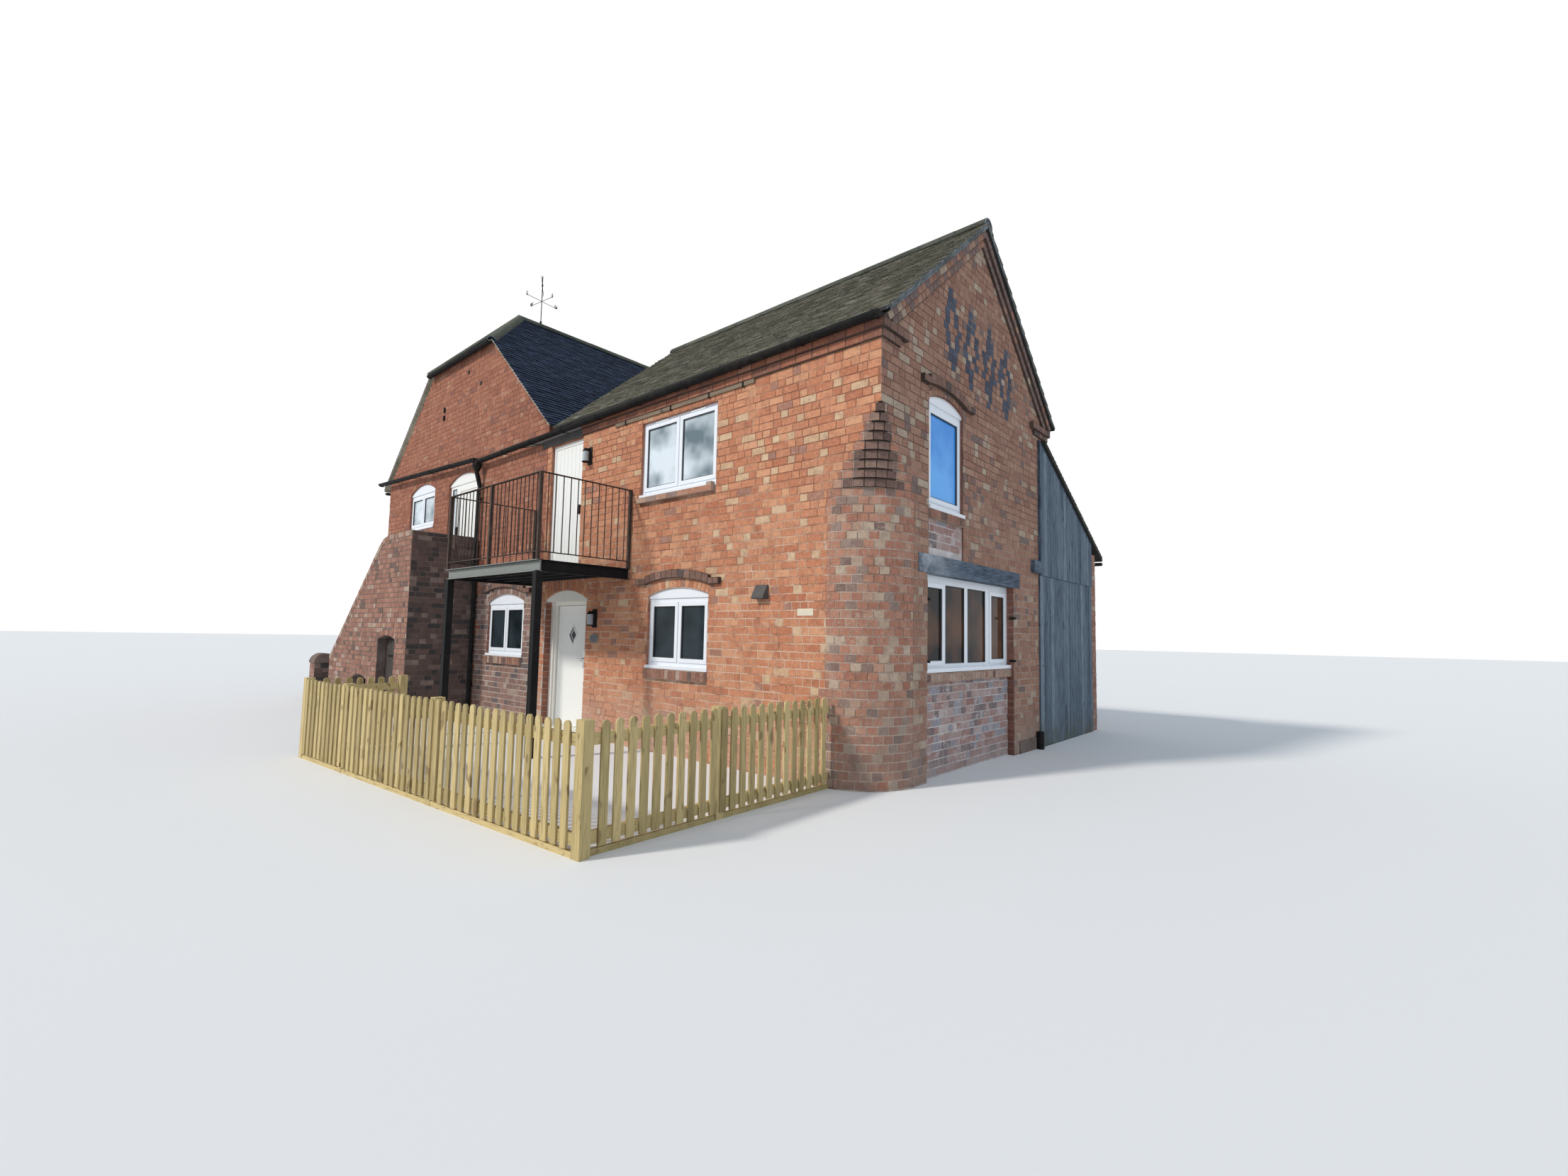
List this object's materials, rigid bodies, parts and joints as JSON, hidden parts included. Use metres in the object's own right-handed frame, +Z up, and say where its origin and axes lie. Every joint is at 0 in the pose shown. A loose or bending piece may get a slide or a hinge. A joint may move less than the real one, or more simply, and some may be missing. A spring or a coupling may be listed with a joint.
{
  "type": "oast house",
  "caption": "Brick oast house: gabled range with a rounded corbelled corner, square half-hipped kiln with weathervane, lean-to, outside stair, steel balcony and picket fence.",
  "frame": {"origin": "middle of the main walls' plan, at ground level under the ground floor", "axes": "+X along the front wall towards the gable end, +Y from the front wall to the back, +Z up"},
  "size_m": [14.08, 10.6905, 9.518],
  "materials": {
    "red_brick": "matte",
    "dark_brick": "matte",
    "pale_brick": "matte",
    "mossy_tile": "matte",
    "blue_tile": "satin",
    "ridge_tile": "matte",
    "concrete_floor": "matte",
    "timber_floor": "matte",
    "black_timber": "satin",
    "grey_boards": "matte",
    "white_frames": "satin",
    "cream_joinery": "satin",
    "window_glass": "gloss",
    "grey_steel": "satin",
    "black_iron": "satin",
    "dark_planks": "matte",
    "green_pine": "matte"
  },
  "bodies": {
    "house": {"ground_floor": "concrete_floor", "upper_floor": "timber_floor", "rounded_corner": "red_brick", "range_front_wall_lower": "red_brick", "range_front_wall_upper": "red_brick", "gable_wall_lower": "red_brick", "gable_wall_upper": "red_brick", "gable_infill": "pale_brick", "gable_lintel": "black_timber", "corbel_courses": "red_brick", "range_back_wall": "red_brick", "range_west_gable": "red_brick", "range_roof": "mossy_tile", "ridge_tiles": "ridge_tile", "lean_to_wall": "red_brick", "lean_to_boards": "grey_boards", "lean_to_roof": "mossy_tile", "kiln_front_wall_lower": "red_brick", "kiln_front_wall_upper": "red_brick", "kiln_west_wall": "red_brick", "kiln_back_wall": "red_brick", "kiln_east_wall": "red_brick", "kiln_roof": "blue_tile", "hood_moulds": "dark_brick", "sills": "dark_brick", "window_frames_ground": "white_frames", "window_frames_upper": "white_frames", "window_glass_ground": "window_glass", "window_glass_upper": "window_glass", "front_door_frame": "cream_joinery", "upper_doors": "cream_joinery", "balcony_frame": "grey_steel", "balcony_railing": "grey_steel", "stair_walls": "dark_brick", "stair_steps": "dark_brick", "store_door_frame": "dark_planks", "rainwater_goods": "black_iron", "lanterns": "black_iron", "fence_front": "green_pine", "fence_right": "green_pine", "fence_left": "green_pine", "vane_mast": "black_iron"},
    "front_door": {"front_door": "cream_joinery"},
    "store_door": {"store_door": "dark_planks"},
    "vane": {"vane_pointer": "black_iron"}
  },
  "joints": [
    {"name": "front_door_hinge", "type": "hinge", "parent": "house", "child": "front_door", "pos_m": [0.641, -3.37, 1], "axis": [0, 0, 1], "range_deg": [0, 90]},
    {"name": "store_door_hinge", "type": "hinge", "parent": "house", "child": "store_door", "pos_m": [-3.412, -4.575, 0.7], "axis": [0, 0, -1], "range_deg": [0, 90]},
    {"name": "vane_turn", "type": "hinge", "parent": "house", "child": "vane", "pos_m": [-3.225, -1.935, 9.3], "axis": [0, 0, 1], "continuous": true}
  ]
}
